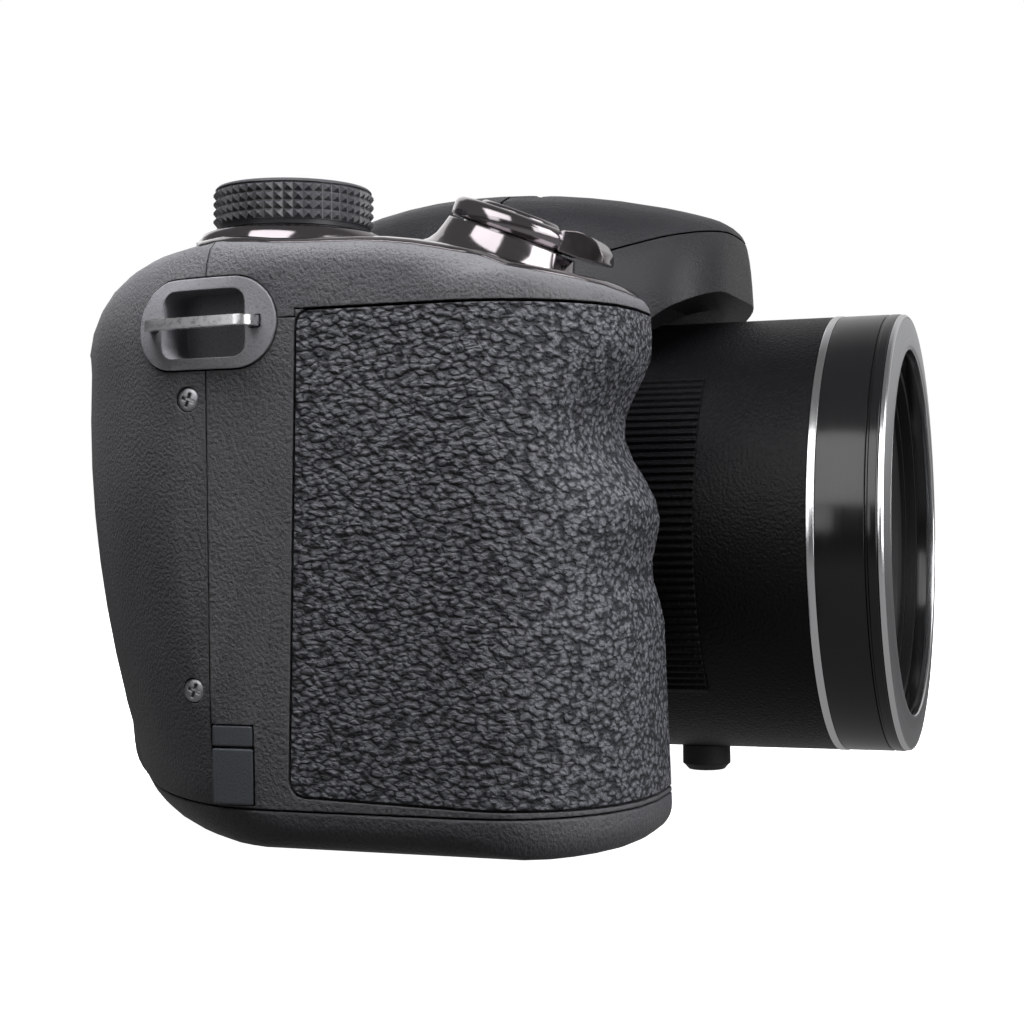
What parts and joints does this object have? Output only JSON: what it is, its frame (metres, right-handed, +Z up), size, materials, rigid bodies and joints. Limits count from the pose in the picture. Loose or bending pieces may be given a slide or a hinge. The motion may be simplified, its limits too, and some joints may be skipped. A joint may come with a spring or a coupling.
{
  "type": "bridge camera",
  "caption": "Bridge camera with a deep rubber grip, a fixed barrel with a retracting zoom lens, a pop-up flash hump, a mode dial and a rear screen.",
  "frame": {"origin": "mouth of the tripod socket, in the plane that the camera stands on", "axes": "+Z up, -Y the way the lens looks, +X away from the grip"},
  "size_m": [0.1353, 0.1229, 0.0945],
  "materials": {
    "grained_plastic": "charcoal, fine spark grain",
    "grip_rubber": "soft black rubber",
    "dark_chrome": "dark chrome plating",
    "dial_plastic": "satin black",
    "barrel_plastic": "matte black, grained",
    "gloss_black": "gloss black",
    "satin_silver": "satin, polished edges",
    "optical_glass": "coated",
    "steel": "plated",
    "inner_plastic": "plain moulded",
    "plate_metal": "plain",
    "circuit_board": "solder mask",
    "contact_brass": "plain",
    "screen_gloss": "gloss",
    "flash_clear": "prismatic",
    "lamp_amber": "clear amber",
    "key_plastic": "satin",
    "movie_red": "satin"
  },
  "bodies": {
    "camera": {"front_cover": "grained_plastic", "rear_cover": "grained_plastic", "top_cover": "grained_plastic", "grip_rubber": "grip_rubber", "door_pin": "steel", "flap_anchor": "grip_rubber", "strap_bezels": "grained_plastic", "strap_loops": "steel", "cover_screws": "steel", "top_trim": "dark_chrome", "flash_housing": "grained_plastic", "flash_pin": "steel", "lens_barrel": "barrel_plastic", "barrel_ribs": "barrel_plastic", "accent_ring": "satin_silver", "front_ring": "gloss_black", "lens_bezel": "satin_silver", "front_foot": "barrel_plastic", "guide_tube": "inner_plastic", "rear_glass": "optical_glass", "lens_base": "inner_plastic", "zoom_motor": "steel", "image_sensor": "circuit_board", "sensor_board": "circuit_board", "chassis": "plate_metal", "main_board": "circuit_board", "screen_panel": "screen_gloss", "screen_window": "screen_gloss", "cells": "plate_metal", "battery_box": "inner_plastic", "cell_contacts": "contact_brass", "card_slot": "steel", "flash_capacitor": "plate_metal", "tripod_socket": "steel", "af_lamp": "lamp_amber", "port_socket": "steel"},
    "battery_hatch": {"battery_door": "grained_plastic", "door_contacts": "contact_brass"},
    "hatch_latch": {"door_latch": "key_plastic"},
    "cord_cover": {"cord_flap": "grip_rubber"},
    "dial": {"mode_dial": "dial_plastic"},
    "zoom_ring": {"zoom_lever": "dark_chrome"},
    "shutter": {"shutter_button": "dark_chrome"},
    "power": {"power_button": "dark_chrome"},
    "flash_head": {"flash_lid": "grained_plastic", "flash_reflector": "plate_metal", "flash_tube": "flash_clear", "flash_window": "flash_clear"},
    "first_barrel": {"lens_stage_1": "barrel_plastic", "middle_glass": "optical_glass"},
    "second_barrel": {"lens_stage_2": "barrel_plastic", "name_ring": "barrel_plastic", "front_glass": "optical_glass"},
    "port_cover": {"port_door": "grip_rubber"},
    "movie": {"movie_key": "movie_red"},
    "playback": {"playback_key": "key_plastic"},
    "menu": {"menu_key": "key_plastic"},
    "delete": {"delete_key": "key_plastic"},
    "pad": {"control_pad": "key_plastic"},
    "set": {"set_key": "key_plastic"}
  },
  "joints": [
    {"name": "hatch_hinge", "type": "hinge", "parent": "camera", "child": "battery_hatch", "pos_m": [-0.037, 0, 0.0021], "axis": [0, -1, 0], "range_deg": [0, 95]},
    {"name": "latch_slide", "type": "slide", "parent": "battery_hatch", "child": "hatch_latch", "axis": [1, 0, 0], "range_m": [0, 0.003]},
    {"name": "cord_cover_fold", "type": "hinge", "parent": "camera", "child": "cord_cover", "pos_m": [-0.078, 0.0053, 0.0131], "axis": [0, 1, 0], "range_deg": [0, 100], "stiffness_Nm_per_rad": 0.0004},
    {"name": "dial_turn", "type": "hinge", "parent": "camera", "child": "dial", "pos_m": [-0.058, 0.0052, 0.08163], "axis": [0, -0.0175, 0.9998], "continuous": true},
    {"name": "zoom_ring_turn", "type": "hinge", "parent": "camera", "child": "zoom_ring", "pos_m": [-0.058, -0.025, 0.0748], "axis": [0, -0.3746, 0.9272], "range_deg": [-20, 20], "stiffness_Nm_per_rad": 0.04},
    {"name": "shutter_press", "type": "slide", "parent": "camera", "child": "shutter", "axis": [0, 0.3746, -0.9272], "range_m": [0, 0.0012], "stiffness_N_per_m": 600},
    {"name": "power_press", "type": "slide", "parent": "camera", "child": "power", "axis": [0, 0, -1], "range_m": [0, 0.0008], "stiffness_N_per_m": 1200},
    {"name": "flash_hinge", "type": "hinge", "parent": "camera", "child": "flash_head", "pos_m": [0, -0.013, 0.09189], "axis": [-1, 0, 0], "range_deg": [0, 50]},
    {"name": "first_barrel_slide", "type": "slide", "parent": "camera", "child": "first_barrel", "axis": [0, -1, 0], "range_m": [0, 0.02]},
    {"name": "second_barrel_slide", "type": "slide", "parent": "first_barrel", "child": "second_barrel", "axis": [0, -1, 0], "range_m": [0, 0.018]},
    {"name": "port_cover_hinge", "type": "hinge", "parent": "camera", "child": "port_cover", "pos_m": [0.0516, 0.02595, 0.024], "axis": [0, 0, 1], "range_deg": [0, 110]},
    {"name": "movie_press", "type": "slide", "parent": "camera", "child": "movie", "axis": [0.452, -0.8871, 0.0941], "range_m": [0, 0.0006], "stiffness_N_per_m": 1500},
    {"name": "playback_press", "type": "slide", "parent": "camera", "child": "playback", "axis": [0.452, -0.8871, 0.0941], "range_m": [0, 0.0006], "stiffness_N_per_m": 1500},
    {"name": "menu_press", "type": "slide", "parent": "camera", "child": "menu", "axis": [0.452, -0.8871, 0.0941], "range_m": [0, 0.0006], "stiffness_N_per_m": 1500},
    {"name": "delete_press", "type": "slide", "parent": "camera", "child": "delete", "axis": [0.452, -0.8871, 0.0941], "range_m": [0, 0.0006], "stiffness_N_per_m": 1500},
    {"name": "pad_press", "type": "slide", "parent": "camera", "child": "pad", "axis": [0.452, -0.8871, 0.0941], "range_m": [0, 0.0006], "stiffness_N_per_m": 1500},
    {"name": "set_press", "type": "slide", "parent": "camera", "child": "set", "axis": [0.452, -0.8871, 0.0941], "range_m": [0, 0.0006], "stiffness_N_per_m": 1500}
  ],
  "couplings": [
    {"joint": "second_barrel_slide", "follows": "first_barrel_slide", "ratio": 0.9}
  ]
}
